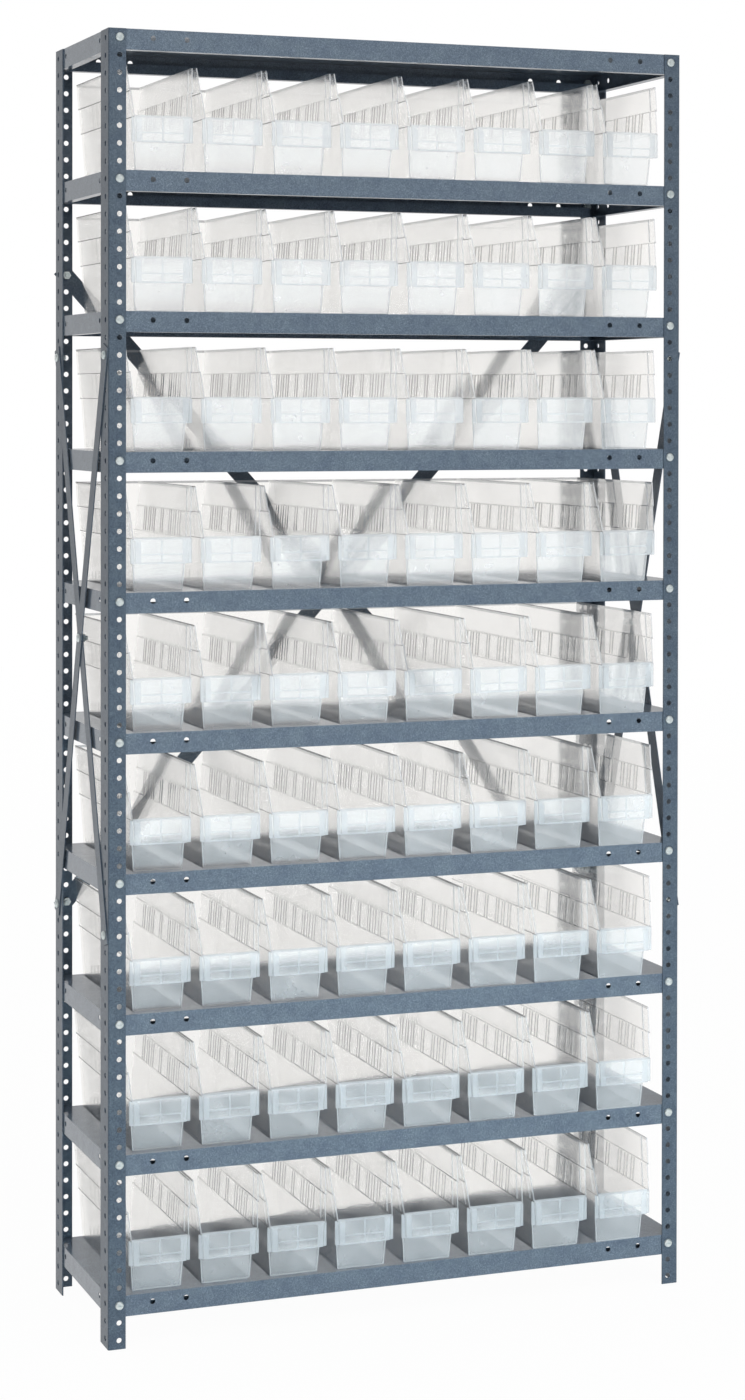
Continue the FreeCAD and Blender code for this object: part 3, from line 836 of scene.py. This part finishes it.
def background_nodes(nodes, links):
    """Sockets that tell a direct look, a look through plastic and a reflection, and their colour."""
    rays = nodes.new("ShaderNodeLightPath").outputs
    behind = combine(nodes, links, "GREATER_THAN", rays["Transparent Depth"], 0.5)
    straight = combine(nodes, links, "MULTIPLY", rays["Is Camera Ray"], behind)
    through = combine(nodes, links, "MAXIMUM", straight, rays["Is Transmission Ray"])
    direct = combine(nodes, links, "SUBTRACT", rays["Is Camera Ray"], straight)
    tint = nodes.new("ShaderNodeMix")
    tint.data_type = "RGBA"
    tint.inputs["A"].default_value = (1.0, 1.0, 1.0, 1.0)
    tint.inputs["B"].default_value = (*WARM_HAZE, 1.0)
    links.new(through, tint.inputs["Factor"])
    return direct, through, rays["Is Glossy Ray"], tint.outputs["Result"]

# %% [markdown]
# ## The floor
#
# The unit stands on a pale plane that is large enough for every view. It glows white by itself for a
# direct look, a little less close to the unit, so that the soft shadow stays. Through the plastic its
# glow is weaker near the unit, a painted shade round the unit with some of the floor's real shadow
# showing through, which gives the lowest bins their deeper tone.

# %% Floor
FLOOR_REACH = 12.0
FLOOR_FAR = 10.0
FLOOR_GLOW = (0.97, 1.0)
# Weaker glow near the unit through the plastic: painted shade, with some real floor shadow showing
# through.
FLOOR_THROUGH_PLASTIC = (0.68, 0.96)
FLOOR_COLOUR = (0.86, 0.86, 0.86)


def make_floor():
    """A square plane under the unit, which isn't part of the object."""
    mesh = bmesh.new()
    bmesh.ops.create_grid(mesh, x_segments=1, y_segments=1, size=FLOOR_REACH)
    data = bpy.data.meshes.new("studio_floor")
    mesh.to_mesh(data)
    mesh.free()
    floor = bpy.data.objects.new("studio_floor", data)
    bpy.context.scene.collection.objects.link(floor)
    material, nodes, links, shader, place = new_finish("white_floor")
    shader.inputs["Base Color"].default_value = (*FLOOR_COLOUR, 1.0)
    shader.inputs["Roughness"].default_value = 0.9
    length = nodes.new("ShaderNodeVectorMath")
    length.operation = "LENGTH"
    links.new(place, length.inputs[0])
    far = combine(nodes, links, "DIVIDE", length.outputs["Value"], FLOOR_FAR)
    direct, through, glossy, tint = background_nodes(nodes, links)
    either = combine(nodes, links, "MAXIMUM", direct, glossy)
    seen = combine(nodes, links, "MULTIPLY", either, remap(nodes, links, far, *FLOOR_GLOW))
    passed = combine(nodes, links, "MULTIPLY", through, remap(nodes, links, far, *FLOOR_THROUGH_PLASTIC))
    glow = nodes.new("ShaderNodeEmission")
    glow.inputs["Strength"].default_value = 1.0
    links.new(tint, glow.inputs["Color"])
    mix = nodes.new("ShaderNodeMixShader")
    links.new(combine(nodes, links, "MAXIMUM", seen, passed), mix.inputs["Fac"])
    links.new(shader.outputs["BSDF"], mix.inputs[1])
    links.new(glow.outputs["Emission"], mix.inputs[2])
    links.new(mix.outputs["Shader"], nodes["Material Output"].inputs["Surface"])
    data.materials.append(material)
    return floor


floor = make_floor()
print("floor in m:", [round(side, 1) for side in floor.dimensions[:2]])

# %% [markdown]
# ## The light
#
# Most of the light is even and comes from the world, as from the white walls of a studio. It is
# dimmer from the left and the right, because a studio is brightest in front and behind, and that
# sets the faces of the posts apart. Three large soft boxes add shape: one high in front, one to the
# right, and a pale blue one low down, for the cool light that the photograph shows on the lowest
# row.

# %% World
WORLD_LIGHT = 0.9
SIDE_DIMMING = 0.2


def make_world():
    """White for the camera, and a gentler light that is dimmer from the two sides."""
    world = bpy.data.worlds.new("white_world")
    bpy.context.scene.world = world
    world.use_nodes = True
    nodes, links = world.node_tree.nodes, world.node_tree.links
    background = nodes["Background"]
    direction = nodes.new("ShaderNodeSeparateXYZ")
    links.new(nodes.new("ShaderNodeTexCoord").outputs["Generated"], direction.inputs["Vector"])
    sideways = combine(nodes, links, "ABSOLUTE", direction.outputs["X"], 0.0)
    dimmed = remap(nodes, links, sideways, 1.0, SIDE_DIMMING)
    direct, through, glossy, tint = background_nodes(nodes, links)
    light = combine(nodes, links, "MULTIPLY", remap(nodes, links, glossy, WORLD_LIGHT, 1.0), dimmed)
    lit = combine(nodes, links, "MULTIPLY", light, combine(nodes, links, "SUBTRACT", 1.0, through))
    white = combine(nodes, links, "MAXIMUM", direct, through)
    strength = combine(nodes, links, "MAXIMUM", lit, white)
    links.new(strength, background.inputs["Strength"])
    links.new(tint, background.inputs["Color"])
    return world


world = make_world()
print("world nodes:", len(world.node_tree.nodes))

# %% Lamps
def add_softbox(name, location, target, size, power, colour=(1.0, 1.0, 1.0)):
    """A rectangular area lamp that faces a point. It only lights, and is not seen or reflected."""
    data = bpy.data.lights.new(name, "AREA")
    data.shape = "RECTANGLE"
    data.size, data.size_y = size
    data.energy = power
    data.color = colour
    lamp = bpy.data.objects.new(name, data)
    bpy.context.scene.collection.objects.link(lamp)
    lamp.location = location
    lamp.rotation_euler = (Vector(target) - Vector(location)).to_track_quat("-Z", "Y").to_euler()
    lamp.visible_camera = False
    lamp.visible_glossy = False
    lamp.visible_transmission = False
    return lamp


PALE_BLUE = (0.68, 0.90, 1.0)
lamps = [
    add_softbox("front_softbox", (-0.6, -2.3, 3.0), (0.0, 0.0, 1.6), (1.8, 1.2), 24.0),
    add_softbox("front_right_softbox", (2.6, -3.4, 2.4), (0.0, 0.0, 1.4), (1.6, 1.8), 13.0),
    add_softbox("low_softbox", (0.2, -1.5, 0.12), (0.0, 0.0, 0.15), (2.6, 0.4), 16.0, PALE_BLUE),
]
print("lamps:", [lamp.name for lamp in lamps])

# %% [markdown]
# ## Colour management and bounces
#
# The Standard view shows colours as they are written. A look along a row of bins meets dozens of clear
# faces, so a ray may pass through more of them than Cycles allows by default.

# %% Finish
CLEAR_FACES = 48
BOUNCES = 24

scene = bpy.context.scene
scene.view_settings.view_transform = "Standard"
scene.cycles.transparent_max_bounces = CLEAR_FACES
scene.cycles.max_bounces = BOUNCES
scene.cycles.transmission_bounces = BOUNCES
